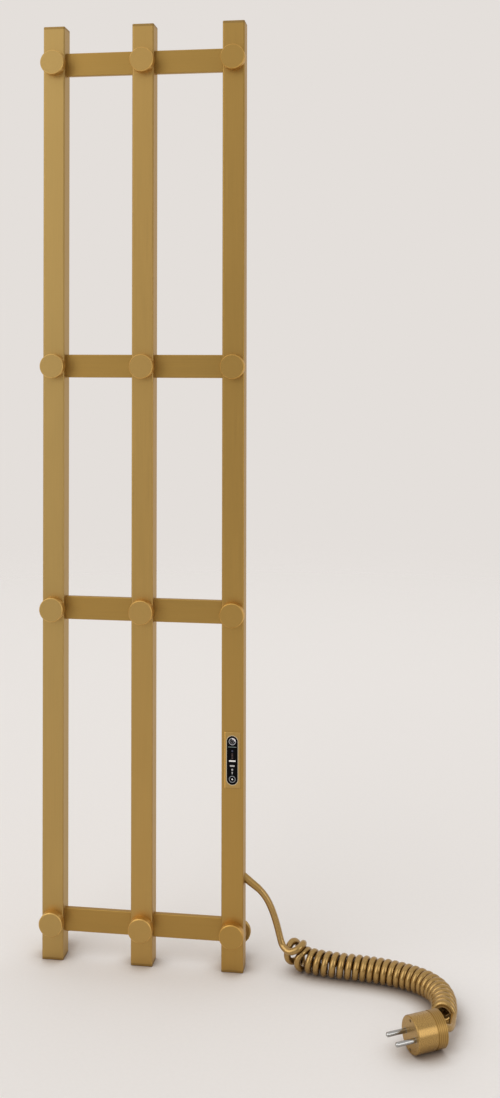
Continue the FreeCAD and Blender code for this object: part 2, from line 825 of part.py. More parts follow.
def make_sensor_and_terminals():
    upright = Rotation()
    keep(rod("temperature_sensor", "sensor_radius", "sensor_length", "post_pitch", "sensor_y", "sensor_foot",
             upright), "temperature_sensor")
    keep(rod("thermal_cutout", "cutout_radius", "cutout_length", "post_pitch", "cutout_y", "cutout_foot",
             upright), "thermal_cutout")
    keep(block("terminal_block", "terminal_width", "terminal_depth", "terminal_height", "post_pitch",
               "inner_back_y - terminal_depth", "terminal_z + terminal_height / 2"), "terminal_block")


# ------------------------------------------------------------------------------------ control unit


def make_bezel():
    """The raised frame around the lens, with a collar that goes through the post's wall."""
    body = new_body("control_bezel_body", x="post_pitch", y="front_y", z="control_z")
    outline = new_sketch(body, "XZ_Plane")
    rectangle(outline, "bezel_width", "bezel_height")
    plate = pad(body, outline, "bezel_reach")
    rim = edges_where(plate, lies_at("Y", -size("bezel_reach")))
    dress(body, "Chamfer", plate, rim, "bezel_bevel")
    collar = new_sketch(body, "XZ_Plane")
    rectangle(collar, "collar_width", "collar_height")
    pad(body, collar, "collar_depth", reverse=True)
    window = pill("bezel_window", "lens_width + 2 * push_fit", "lens_height + 2 * push_fit",
                  "bezel_reach + collar_depth", "post_pitch", "front_y - bezel_reach", "control_z")
    recess = pill("bezel_recess", "lens_width + 2 * lens_margin + 2 * push_fit",
                  "lens_height + 2 * lens_margin + 2 * push_fit", "collar_end_y - lens_step_y",
                  "post_pitch", "lens_step_y", "control_z")
    keep(cut("control_bezel", body, window, recess), "control_bezel")


def make_lens():
    """The black pill-shaped window with a hole for each button and a flange that holds it in the bezel."""
    front = pill("lens_front", "lens_width", "lens_height", "lens_thickness", "post_pitch", "lens_front_y",
                 "control_z")
    flange = pill("lens_flange", "lens_width + 2 * lens_margin", "lens_height + 2 * lens_margin",
                  "collar_end_y - lens_step_y", "post_pitch", "lens_step_y", "control_z")
    holes = []
    for sign in ("-", "+"):
        holes.append(rod("button_hole", "button_radius + button_gap", "collar_end_y - lens_front_y",
                         "post_pitch", "lens_front_y", f"control_z {sign} button_spread"))
    keep(cut("control_lens", fuse("lens", front, flange), *holes), "control_lens")


def make_button(label, sign):
    """A round push button: cap, a flange behind the lens that keeps it in, and a stem towards its switch."""
    z = f"control_z {sign} button_spread"
    front = "lens_front_y - button_rise"
    cap = rod(label + "_cap", "button_radius", f"collar_end_y - ({front})", "post_pitch", front, z)
    flange = rod(label + "_flange", "button_flange", "button_flange_thickness", "post_pitch",
                 "collar_end_y", z)
    stem = rod(label + "_stem", "button_stem_radius", "button_flange_thickness + button_stem_length",
               "post_pitch", "collar_end_y", z)
    keep(fuse(label, cap, flange, stem), label)


def board_screw_places():
    return [f"control_z {sign} (board_height / 2 - board_screw_inset)" for sign in ("-", "+")]


def make_tray():
    """The housing behind the bezel, with a boss for each board screw."""
    outside = block("tray_outside", "tray_width", "tray_depth", "tray_height", "post_pitch", "collar_end_y",
                    "control_z")
    inside = block("tray_inside", "tray_width - 2 * tray_wall", "tray_depth - tray_wall",
                   "tray_height - 2 * tray_wall", "post_pitch", "collar_end_y", "control_z")
    shell = cut("tray_shell", outside, inside)
    bosses = []
    holes = []
    for z in board_screw_places():
        bosses.append(rod("tray_boss", "board_boss_radius", "board_setback + tray_wall / 2", "post_pitch",
                          "board_back_y", z))
        holes.append(rod("tray_boss_hole", "board_screw_radius + push_fit", "board_setback + tray_wall / 2",
                         "post_pitch", "board_back_y", z))
    keep(cut("control_tray", fuse("tray", shell, *bosses), *holes), "control_tray")


def make_board():
    """The circuit board on the tray's bosses, its display, its two push switches and its screws."""
    plain = block("board", "board_width", "board_thickness", "board_height", "post_pitch", "board_front_y",
                  "control_z")
    holes = []
    screws = []
    for z in board_screw_places():
        holes.append(rod("board_hole", "board_screw_radius + 3 * push_fit", "board_thickness", "post_pitch",
                         "board_front_y", z))
        head = rod("board_screw_head", "board_screw_head", "board_screw_radius", "post_pitch",
                   "board_front_y - board_screw_radius", z)
        shank = rod("board_screw_shank", "board_screw_radius",
                    "board_screw_radius + board_thickness + board_setback", "post_pitch",
                    "board_front_y - board_screw_radius", z)
        screws.append(fuse("board_screw", head, shank))
    keep(cut("circuit_board", plain, *holes), "circuit_board")
    group("board_screws", screws)
    display_front = "collar_end_y + display_gap"
    keep(block("display_module", "display_width", f"board_front_y - ({display_front})", "display_height",
               "post_pitch", display_front, "control_z"), "display_module")
    switches = []
    for sign in ("-", "+"):
        switches.append(block("switch", "switch_size", "board_front_y - switch_front_y", "switch_size",
                              "post_pitch", "switch_front_y", f"control_z {sign} button_spread"))
    group("push_switches", switches)


# ------------------------------------------------------------------------------- cord and its plug


def slanted_rod(name, radius, start, length):
    """A cylinder on the cord's axis where it leaves the post; start and length run outwards from the wall."""
    across = Rotation(Vector(0, 1, 0), 90 + size("exit_dip"))
    x = f"exit_x + ({start}) * dip_across"
    z = f"exit_z - ({start}) * dip_down"
    return rod(name, radius, length, x, "exit_y", z, across)


def make_gland_and_relief():
    """The bush in the post's wall, cut flush outside, and the slim tapered sleeve that it holds."""
    bush = slanted_rod("gland_bush", "gland_radius", "-gland_depth", "2 * gland_depth")
    bore = slanted_rod("gland_bore", "cord_radius + push_fit", "-gland_depth", "2 * gland_depth")
    seat = slanted_rod("gland_seat", "relief_root + push_fit", "-relief_seat", "relief_seat + gland_depth")
    outside = block("gland_outside", "4 * gland_depth", "4 * gland_depth", "8 * gland_depth",
                    "exit_x + 2 * gland_depth", "exit_y - 2 * gland_depth", "exit_z")
    keep(cut("cord_gland", bush, bore, seat, outside), "cord_gland")
    root = slanted_rod("relief_root_piece", "relief_root", "-relief_seat", "relief_seat + relief_shoulder")
    across = Rotation(Vector(0, 1, 0), 90 + size("exit_dip"))
    cone = taper("relief_cone", "relief_root", "relief_tip", "relief_length - relief_shoulder",
                 "exit_x + relief_shoulder * dip_across", "exit_y", "exit_z - relief_shoulder * dip_down",
                 across)
    hollow = slanted_rod("relief_bore", "cord_radius + push_fit", "-relief_seat",
                         "relief_seat + relief_length")
    keep(cut("strain_relief", fuse("relief", root, cone), hollow), "strain_relief")


def plug_axis():
    """The direction that the pins point in, and the middle of the plug's back."""
    heading = math.radians(size("plug_heading"))
    ahead = Vector(math.cos(heading), math.sin(heading), 0)
    face = Vector(size("plug_x"), size("plug_y"), size("plug_radius"))
    return ahead, face - ahead * size("plug_length")


def make_cord():
    """The supply lead inside the post, and the free cord: its lead, its curly stretch and its tail."""
    radius = size("cord_radius")
    leaving = Vector(size("exit_x"), size("exit_y"), size("exit_z"))
    inwards = Vector(-size("dip_across"), 0, size("dip_down"))
    pitch = size("post_pitch")
    inner_bend = leaving + inwards * size("supply_run")
    into_block = Vector(pitch, size("terminal_y"), size("terminal_z"))
    upper_bend = into_block - Vector(0, 0, size("supply_drop"))
    lower_bend = upper_bend + SUPPLY_LOWER_BEND
    supply = [leaving, inner_bend, lower_bend, upper_bend, into_block]
    supply_wire, supply_radii = route_wire(supply)
    shaped("supply_lead", swept_tube(supply_wire, radius))

    lead_wire, lead_radii = route_wire([leaving] + CORD_LEAD_BENDS)
    shaped("cord_lead", swept_tube(lead_wire, radius))

    coil_radius = size("coil_radius")
    coil_z = coil_radius + size("coil_floor_gap")
    coil_wire, coil_radii = route_wire([(x, y, coil_z) for x, y in COIL_ROUTE])
    shaped("cord_coil", swept_tube(coil_wire, coil_radius))

    ahead, back = plug_axis()
    tail = CORD_TAIL_BENDS + [back - ahead * TAIL_RUN_BEHIND_PLUG, back + ahead * size("plug_cord_seat")]
    tail_wire, tail_radii = route_wire(tail)
    shaped("cord_tail", swept_tube(tail_wire, radius))

    for name, radii in (("supply", supply_radii), ("lead", lead_radii), ("curly stretch", coil_radii),
                        ("tail", tail_radii)):
        print(name, "bend radii:", ", ".join(f"{value:.1f}" for value in radii))
    print(f"lead {lead_wire.Length:.1f}, curly stretch {coil_wire.Length:.1f}, tail {tail_wire.Length:.1f}")


def on_plug(piece, along="0", side="0", up="0", turn_upright=True):
    """Put a piece on the plug: along its axis from the pin face, to its side and above it."""
    heading = size("plug_heading")
    turn = Rotation(Vector(0, 0, 1), heading)
    piece.Placement = Placement(Vector(), turn.multiply(ALONG_X) if turn_upright else turn)
    ahead = plug_axis()[0]
    bind(piece, "Placement.Base.x", f"plug_x + ({along}) * {ahead.x:.9f} - ({side}) * {ahead.y:.9f}")
    bind(piece, "Placement.Base.y", f"plug_y + ({along}) * {ahead.y:.9f} + ({side}) * {ahead.x:.9f}")
    bind(piece, "Placement.Base.z", f"plug_radius + {up}")
    return piece


def plug_rod(name, radius, start, length, side="0", up="0"):
    return on_plug(rod(name, radius, length), start, side, up)


def make_plug():
    """The round plug: front body, rear cover behind a narrow seam, two pins and two face screws."""
    body = new_body("plug_body_solid")
    on_plug(body, turn_upright=False)
    outline = new_sketch(body, "YZ_Plane")
    circle(outline, "plug_radius")
    front = pad(body, outline, "plug_front", reverse=True)
    dress(body, "Fillet", front, edges_where(front, lies_at("X", 0)), "plug_rim")
    pin_holes = new_sketch(body, "YZ_Plane")
    for side in ("-pin_spacing / 2", "pin_spacing / 2"):
        circle(pin_holes, "pin_root_radius + push_fit", across=side)
    pocket(body, pin_holes, "pin_seat")
    screw_holes = new_sketch(body, "YZ_Plane")
    for up in ("-face_screw_offset", "face_screw_offset"):
        circle(screw_holes, "face_screw_radius + push_fit", up=up)
    pocket(body, screw_holes, "face_screw_length + face_screw_setback")
    keep(body, "plug_body")

    seam = plug_rod("plug_seam_ring", "plug_radius - plug_seam_depth", "-plug_front - plug_seam", "plug_seam")
    shell = plug_rod("plug_cover_shell", "plug_radius", "-plug_length", "plug_cover")
    cord_seat = plug_rod("plug_cord_hole", "cord_radius + push_fit", "-plug_length", "plug_cord_seat")
    keep(cut("plug_cover", fuse("plug_cover", seam, shell), cord_seat), "plug_cover")

    pins = []
    screws = []
    for sign in ("-", ""):
        side = sign + "pin_spacing / 2"
        root = plug_rod("pin_root", "pin_root_radius", "-pin_seat", "pin_seat", side)
        shaft = plug_rod("pin_shaft", "pin_radius", "0", "pin_length - pin_bevel", side)
        tip = taper("pin_tip", "pin_radius", "pin_radius - pin_bevel", "pin_bevel")
        on_plug(tip, "pin_length - pin_bevel", side)
        pins.append(fuse("pin", root, shaft, tip))
        up = sign + "face_screw_offset"
        screws.append(plug_rod("face_screw", "face_screw_radius", "-face_screw_length - face_screw_setback",
                               "face_screw_length", up=up))
    group("plug_pins", pins)
    group("plug_screws", screws)


# --------------------------------------------------------------------------------- build and write


def check_document():
    """Every object has to be free of errors, and every sub-part a valid shape."""
    doc.recompute()
    for thing in doc.Objects:
        if {"Invalid", "Error"} & set(thing.State):
            raise RuntimeError(f"{thing.Label}: {thing.State}")
    for node in nodes:
        if node.Shape.isNull() or not node.Shape.isValid() or not node.Shape.Solids:
            raise RuntimeError(f"{node.Label} is not a valid solid")


def write_parts():
    os.makedirs("parts", exist_ok=True)
    for node in nodes:
        node.Shape.exportStep(f"parts/{node.Label}.step")


def main():
    fill_sheet()
    make_posts()
    for end in ("foot", "top"):
        for side in POSTS:
            make_cap(side, end)
    for level in BARS:
        make_bar(level)
    make_knobs_and_fixings()
    make_spacers()
    make_heating()
    make_sensor_and_terminals()
    make_bezel()
    make_lens()
    make_button("power_button", "+")
    make_button("timer_button", "-")
    make_tray()
    make_board()
    make_gland_and_relief()
    make_cord()
    make_plug()
    check_document()
    write_parts()
    print(len(nodes), "sub-parts")


main()
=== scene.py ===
"""Looks of the towel warmer rack: camera, cord, marks, materials, floor and light.

Every length is in metres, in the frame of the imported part: +Z up, +X to the right, +Y towards the wall.
"""
import math

import bmesh
import bpy
from mathutils import Matrix, Vector


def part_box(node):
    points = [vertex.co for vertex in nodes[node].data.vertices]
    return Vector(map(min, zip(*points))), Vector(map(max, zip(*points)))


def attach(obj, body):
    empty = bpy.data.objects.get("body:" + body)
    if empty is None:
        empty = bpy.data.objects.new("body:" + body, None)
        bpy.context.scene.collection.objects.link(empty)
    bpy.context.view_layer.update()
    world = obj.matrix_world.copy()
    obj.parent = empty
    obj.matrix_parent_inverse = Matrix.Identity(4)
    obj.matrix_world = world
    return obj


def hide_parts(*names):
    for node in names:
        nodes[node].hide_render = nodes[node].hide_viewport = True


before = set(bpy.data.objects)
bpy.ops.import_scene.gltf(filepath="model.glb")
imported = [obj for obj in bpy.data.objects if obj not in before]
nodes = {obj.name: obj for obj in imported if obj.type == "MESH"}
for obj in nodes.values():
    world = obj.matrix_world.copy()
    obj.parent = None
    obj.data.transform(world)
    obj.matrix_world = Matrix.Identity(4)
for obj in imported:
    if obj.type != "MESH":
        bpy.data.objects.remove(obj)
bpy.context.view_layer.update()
scene = bpy.context.scene
UP = Vector((0, 0, 1))
HALF_TURN, FULL_TURN = math.pi, 2 * math.pi

# ---------------------------------------------------------------- camera
CAMERA_PLACE = (0.30699, -1.3539, 0.69358)
CAMERA_LENS = 39.48  # mm, on the usual 36 mm sensor
CAMERA_SHIFT = -0.178  # share of the picture's longer side
CAMERA_TURN = 7.86  # degrees to the left
CAMERA_ROLL = 0.0017  # radians
CAMERA_NEAR, CAMERA_FAR = 0.05, 30


def make_camera():
    """A level camera; its frame is shifted down instead of tilted, which keeps the posts upright."""
    data = bpy.data.cameras.new("camera")
    data.lens = CAMERA_LENS
    data.shift_y = CAMERA_SHIFT
    data.clip_start, data.clip_end = CAMERA_NEAR, CAMERA_FAR
    camera = bpy.data.objects.new("camera", data)
    camera.rotation_mode = "QUATERNION"
    camera.rotation_quaternion = (
        Matrix.Rotation(math.radians(CAMERA_TURN), 3, "Z")
        @ Matrix.Rotation(math.radians(90), 3, "X")
        @ Matrix.Rotation(CAMERA_ROLL, 3, "Z")
    ).to_quaternion()
    camera.location = CAMERA_PLACE
    scene.collection.objects.link(camera)
    scene.camera = camera


make_camera()

# ---------------------------------------------------------------- cord
CORD_RADIUS = 0.0038
CORD_BEVEL_STEPS = 6
EXIT = (0.1163, -0.007, 0.102)
LEAD = [
    (0.1242, -0.0070, 0.0959), (0.1333, -0.0067, 0.0891), (0.1410, -0.0066, 0.0799),
    (0.1471, -0.0069, 0.0679), (0.1518, -0.0076, 0.0548), (0.1554, -0.0089, 0.0423),
]
# The loose first turns: the lead drops through the first one, turns back behind it and winds up into it.
LOOSE_TURNS = [
    (0.1587, -0.0112, 0.0312), (0.1667, -0.0168, 0.0260), (0.1768, -0.0171, 0.0292),
    (0.1821, -0.0098, 0.0321), (0.1823, -0.0016, 0.0289), (0.1806, 0.0015, 0.0207),
    (0.1779, -0.0005, 0.0131), (0.1732, -0.0033, 0.0099), (0.1686, -0.0063, 0.0106),
    (0.1656, -0.0089, 0.0143), (0.1647, -0.0097, 0.0201), (0.1661, -0.0069, 0.0266),
    (0.1697, -0.0006, 0.0298), (0.1738, 0.0060, 0.0265), (0.1772, 0.0088, 0.0178),
    (0.1800, 0.0058, 0.0089), (0.1811, -0.0019, 0.0040), (0.1795, -0.0100, 0.0050),
    (0.1767, -0.0144, 0.0107), (0.1770, -0.0147, 0.0179), (0.1814, -0.0129, 0.0231),
    (0.1863, -0.0073, 0.0246), (0.1890, -0.0009, 0.0207), (0.1902, 0.0016, 0.0135),
]
# The middle line of the curly stretch on the floor.
COIL_ROUTE = [
    (0.1658, -0.0008), (0.190, -0.009), (0.214, -0.014), (0.241, -0.0162), (0.268, -0.0196),
    (0.290, -0.0252), (0.308, -0.0328), (0.322, -0.0425), (0.332, -0.0555), (0.3368, -0.071),
    (0.3371, -0.086), (0.3364, -0.098), (0.3344, -0.108), (0.3329, -0.1160),
]
COIL_HEIGHT = 0.0137
TURN_RADIUS = 0.0097
TURN_POINTS = 16
FIRST_TURN, LAST_TURN = -0.4375, 24.5
# Where the turns' fronts lie along the middle line: each is a turn's number and its distance.
TURN_FRONTS = [(-1.0, 0.0180), (0.0, 0.0271), (6.0, 0.0792), (11.0, 0.1188), (24.5, 0.2230)]
TAIL = [(0.3432, -0.1225, 0.0125), (0.3364, -0.1298, 0.018), (0.3241, -0.137, 0.018)]


def nurbs(name, points, radius=0.0, resolution=8):
    """A curve of one open NURBS spline with these control points, as a tube where it has a radius."""
    data = bpy.data.curves.new(name, "CURVE")
    data.dimensions = "3D"
    spline = data.splines.new("NURBS")
    spline.points.add(len(points) - 1)
    for point, place in zip(spline.points, points):
        point.co = (*place, 1)
        point.radius = radius  # the curve's box counts it, so the bevel below is its multiple
    spline.order_u = 3
    spline.use_endpoint_u = True
    spline.resolution_u = resolution
    data.bevel_depth = 1.0 if radius else 0.0
    data.bevel_resolution = CORD_BEVEL_STEPS
    data.use_fill_caps = True
    return bpy.data.objects.new(name, data)


def read_line(points, resolution=32):
    """The points along the smooth line that these control points give, with the distance to each."""
    bare = nurbs("bare", points, resolution=resolution)
    mesh = bpy.data.meshes.new_from_object(bare)
    line = [vertex.co.copy() for vertex in mesh.vertices]
    bpy.data.meshes.remove(mesh)
    bpy.data.curves.remove(bare.data)
    along = [0.0]
    for a, b in zip(line, line[1:]):
        along.append(along[-1] + (b - a).length)
    return line, along


def at(line, along, distance):
    """The point at a distance along the line, and the line's direction there."""
    k = 1
    while k < len(along) - 1 and along[k] < distance:
        k += 1
    step = line[k] - line[k - 1]
    share = (distance - along[k - 1]) / (along[k] - along[k - 1])
    return line[k - 1] + step * share, step.normalized()


def with_halves(keys):
    """The points, with one more halfway between each two, on the cubic through its four neighbours."""
    keys = [Vector(key) for key in keys]
    padded = [keys[0]] + keys + [keys[-1]]
    points = []
    for before, first, second, after in zip(padded, padded[1:], padded[2:], padded[3:]):
        points += [first, (9 * (first + second) - before - after) / 16]
    return points + [keys[-1]]


def front_distance(turn):
    """How far along the middle line the front of a turn lies."""
    pairs = list(zip(TURN_FRONTS, TURN_FRONTS[1:]))
    (t0, d0), (t1, d1) = next((pair for pair in pairs if turn <= pair[1][0]), pairs[-1])
    return d0 + (d1 - d0) * (turn - t0) / (t1 - t0)


def coil_points():
    """The regular turns of the curly stretch round its middle line; they wind to the left."""
    line, along = read_line([(x, y, COIL_HEIGHT) for x, y in COIL_ROUTE])
    radius = TURN_RADIUS / math.cos(math.pi / TURN_POINTS)  # the smooth line runs inside its control points
    points = []
    for i in range(round(FIRST_TURN * TURN_POINTS), round(LAST_TURN * TURN_POINTS) + 1):
        turn = i / TURN_POINTS
        middle, ahead = at(line, along, front_distance(turn))
        back = UP.cross(ahead)
        angle = math.pi * (1 - 2 * turn)
        points.append(middle + (back * math.cos(angle) + UP * math.sin(angle)) * radius)
    return points


def add(piece, body):
    """Put a new piece in the scene, on its body."""
    scene.collection.objects.link(piece)
    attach(piece, body)
    return piece


def make_cord():
    """The cord as one smooth line from the post's wall to the plug, and its control points."""
    points = [Vector(p) for p in [EXIT] + LEAD] + with_halves(LOOSE_TURNS) + coil_points()
    points += [Vector(p) for p in TAIL]
    cord = add(nurbs("cord", points, CORD_RADIUS), "rack")
    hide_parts("cord_lead", "cord_coil", "cord_tail")
    return cord, points


cord, cord_points = make_cord()


def mesh_object(name, verts, faces, smooth=True):
    """An object of these points and faces, with its faces turned outwards."""
    mesh = bpy.data.meshes.new(name)
    mesh.from_pydata([tuple(v) for v in verts], [], faces)
    mesh.validate()
    bm = bmesh.new()
    bm.from_mesh(mesh)
    bmesh.ops.recalc_face_normals(bm, faces=bm.faces)
    for face in bm.faces:
        face.smooth = smooth
    bm.to_mesh(mesh)
    bm.free()
    return bpy.data.objects.new(name, mesh)


def ring_sleeve(name, rings, sides=48):
    """A closed sleeve through rings, each a centre, an axis and a radius; the last joins the first."""
    verts, faces = [], []
    for centre, axis, radius in rings:
        across = axis.cross(Vector((0, 1, 0))).normalized()
        along = axis.cross(across).normalized()
        for k in range(sides):
            angle = FULL_TURN * k / sides
            verts.append(centre + (across * math.cos(angle) + along * math.sin(angle)) * radius)
    count = len(rings)
    for i in range(count):
        for k in range(sides):
            j, m = (i + 1) % count, (k + 1) % sides
            faces.append((i * sides + k, i * sides + m, j * sides + m, j * sides + k))
    return mesh_object(name, verts, faces)


# The relief's outer profile, thinner along the cord: distance outwards from the post's wall, and radius.
RELIEF_PROFILE = [
    (-0.0065, 0.0044), (0.0, 0.0044), (0.003, 0.00438), (0.0058, 0.0043), (0.0085, 0.00422),
    (0.0112, 0.00414), (0.0137, 0.00407), (0.0165, 0.004), (0.0190, 0.00394), (0.0205, 0.0039),
    (0.0211, 0.00386),
]
RELIEF_BORE = 0.00381
RELIEF_LINE_POINTS = 8
LINE_START = 1e-6


def make_strain_relief():
    """The slim tapered sleeve over the cord where it leaves the post; it follows the cord's own line."""
    line, along = read_line(cord_points[:RELIEF_LINE_POINTS])
    bore = [(distance, RELIEF_BORE) for distance, _ in reversed(RELIEF_PROFILE)]
    rings = []
    for distance, radius in RELIEF_PROFILE + bore:
        point, ahead = at(line, along, max(distance, LINE_START))
        rings.append((point + ahead * min(distance, 0.0), ahead, radius))
    relief = add(ring_sleeve("cord_relief", rings), "rack")
    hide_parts("strain_relief")
    return relief


relief = make_strain_relief()

# ---------------------------------------------------------------- control marks
MARK_HEIGHT = 0.00006
ROUND_SIDES = 40
BAR_CORNER = 0.35  # share of a bar's thinner side
BAR_CORNER_SIDES = 5
BUTTON_RISE = 0.0211  # from the middle of the panel to the middle of a button
# Rings and arcs: outer and inner radius, and an arc's first and last angle.
POWER_RING = (0.0040, 0.0033)
POWER_SIGN = (0.0021, 0.0015)
POWER_SIGN_GAP = 0.24 * math.pi  # half the gap at the sign's top
# A painted highlight: a bright arc on the power ring's upper right.
POWER_HIGHLIGHT = (0.0039, 0.0025, 0.03 * math.pi, 0.55 * math.pi)
TIMER_RING = (0.0038, 0.0030)
# Bars: how far the middle stands above the panel's or the button's middle, width and height.
POWER_SIGN_STEM = (0.0013, 0.0006, 0.0021)
PANEL_LINE = (0.0149, 0.0094, 0.0007)
LEVEL_BAR_HIGH = (-0.0007, 0.0075, 0.0016)
LEVEL_BAR_MIDDLE = (-0.0062, 0.0055, 0.0017)
SCALE_TOP, SCALE_STEP, SCALE_COUNT = 0.0072, 0.0017, 4
SCALE_BAR = (0.0019, 0.0009)
# Dots: how far the middle stands above the panel's or the button's middle, and radius.
TIMER_DOT = (0.0, 0.0009)
NIGHT_SPOT = (0.0104, 0.0011)
LEVEL_DOT = (-0.0104, 0.00105)
LEVEL_WEDGE = [(-0.0008, -0.0129), (-0.0003, -0.0156), (0.0002, -0.0156), (0.0008, -0.0129)]
# How far outside the lens's edge its dark joint starts, the painted highlight rim takes over, and that rim
# ends.
LENS_RINGS = (0.00005, 0.0004, 0.0009)


def middle_of(name):
    """The middle of a CAD piece's box."""
    low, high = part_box(name)
    return tuple((a + b) / 2 for a, b in zip(low, high))


def front_of(name):
    """Where a CAD piece's front lies along Y."""
    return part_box(name)[0][1]


def front_face(name):
    """Half the width and half the height of the flat face that a CAD piece turns to the front."""
    deepest = front_of(name) + MARK_HEIGHT
    face = [vertex.co for vertex in nodes[name].data.vertices if vertex.co.y < deepest]
    return [(max(place[k] for place in face) - min(place[k] for place in face)) / 2 for k in (0, 2)]


def flat_mark(name, outlines, y, body):
    """Thin raised marks on a face that looks towards -Y; each outline is its outer and its inner points.

    Both are closed lists of (x, z) points of the same number, or the inner one is None.
    """
    verts, faces = [], []
    for outer, inner in outlines:
        count = len(outer)
        start = len(verts)
        for depth in (y, y - MARK_HEIGHT):
            verts += [(x, depth, z) for x, z in outer + (inner or [])]
        layer = count * (2 if inner else 1)
        for k in range(count):
            m = (k + 1) % count
            a, b = start + k, start + m
            faces.append((a, b, b + layer, a + layer))
            if inner:
                c, d = a + count, b + count
                faces.append((c, d, d + layer, c + layer))
                faces.append((a, b, d, c))
                faces.append((a + layer, b + layer, d + layer, c + layer))
        if not inner:
            faces.append(tuple(range(start, start + count)))
            faces.append(tuple(range(start + layer, start + layer + count)))
    return add(mesh_object(name, verts, faces, smooth=False), body)


def round_points(x, z, radius, first=0.0, last=FULL_TURN, sides=ROUND_SIDES):
    """Points along an arc, anticlockwise from +X; a full circle has no double point."""
    steps = sides if last - first == FULL_TURN else sides - 1
    return [(x + radius * math.cos(first + (last - first) * k / steps),
             z + radius * math.sin(first + (last - first) * k / steps)) for k in range(sides)]


def ring_mark(x, z, outer, inner):
    return round_points(x, z, outer), round_points(x, z, inner)


def arc_mark(x, z, outer, inner, first, last):
    outline = round_points(x, z, outer, first, last) + round_points(x, z, inner, first, last)[::-1]
    return outline, None


def dot_mark(x, z, rise, radius):
    return round_points(x, z + rise, radius), None


def bar_mark(x, z, rise, width, height):
    """A bar with rounded corners."""
    r = min(width, height) * BAR_CORNER
    outline = []
    for side, end, quarter in ((1, 1, 0), (-1, 1, 0.5), (-1, -1, 1), (1, -1, 1.5)):
        outline += round_points(x + side * (width / 2 - r), z + rise + end * (height / 2 - r), r,
                                quarter * math.pi, (quarter + 0.5) * math.pi, sides=BAR_CORNER_SIDES)
    return outline, None


def pill_points(x, z, half_width, half_height):
    """The outline of an upright pill: two half circles joined by straight sides."""
    straight = half_height - half_width
    return (round_points(x, z + straight, half_width, 0.0, HALF_TURN)
            + round_points(x, z - straight, half_width, HALF_TURN, FULL_TURN))


def make_marks():
    """The marks by name: rings and signs on the buttons with a painted highlight on the power ring, a scale
    on the lens, a joint and a painted highlight rim round it.
    """
    x, _, z = middle_of("control_lens")
    lens_y, button_y, bezel_y = map(front_of, ("control_lens", "power_button", "control_bezel"))
    top, bottom = z + BUTTON_RISE, z - BUTTON_RISE
    sign_ends = HALF_TURN / 2 + POWER_SIGN_GAP, HALF_TURN / 2 + FULL_TURN - POWER_SIGN_GAP
    sign = [arc_mark(x, top, *POWER_SIGN, *sign_ends), bar_mark(x, top, *POWER_SIGN_STEM)]
    scale = [bar_mark(x, z, SCALE_TOP - SCALE_STEP * k, *SCALE_BAR) for k in range(SCALE_COUNT)]
    wedge = [(x + across, z + rise) for across, rise in LEVEL_WEDGE]
    half_width, half_height = front_face("control_lens")
    inner, middle, outer = [pill_points(x, z, half_width + grow, half_height + grow) for grow in LENS_RINGS]
    table = [
        ("power_ring", [ring_mark(x, top, *POWER_RING)], button_y, "power_button"),
        ("power_sign", sign, button_y, "power_button"),
        # Painted highlight on the power ring.
        ("power_light", [arc_mark(x, top, *POWER_HIGHLIGHT)], button_y - MARK_HEIGHT, "power_button"),
        ("timer_ring", [ring_mark(x, bottom, *TIMER_RING)], button_y, "timer_button"),
        ("timer_dot", [dot_mark(x, bottom, *TIMER_DOT)], button_y, "timer_button"),
        ("panel_line", [bar_mark(x, z, *PANEL_LINE)], lens_y, "rack"),
        ("night_spot", [dot_mark(x, z, *NIGHT_SPOT)], lens_y, "rack"),
        ("level_scale", scale, lens_y, "rack"),
        ("level_bar_high", [bar_mark(x, z, *LEVEL_BAR_HIGH)], lens_y, "rack"),
        ("level_bar_middle", [bar_mark(x, z, *LEVEL_BAR_MIDDLE)], lens_y, "rack"),
        ("level_dot", [dot_mark(x, z, *LEVEL_DOT)], lens_y, "rack"),
        ("level_wedge", [(wedge, None)], lens_y, "rack"),
        ("lens_gasket", [(middle, inner)], bezel_y, "rack"),
        ("lens_rim", [(outer, middle)], bezel_y, "rack"),
    ]
    return {name: flat_mark(name, outlines, y, body) for name, outlines, y, body in table}


marks = make_marks()

# ---------------------------------------------------------------- materials
NOISE_LOW, NOISE_HIGH = 0.25, 0.75  # most of a noise texture's values lie between these
SOFT_EDGE = 0.6  # share of a tinted line's half width that is full tint
OCCLUSION_SAMPLES = 8
NO_TINT = (1.0, 1.0, 1.0)
PATINA_GRAIN, PATINA_TINT = (6.0, 6.0, 6.0), (0.95, 0.945, 0.93)


def scaled(colour, share):
    return tuple(min(1.0, c * share) for c in colour)


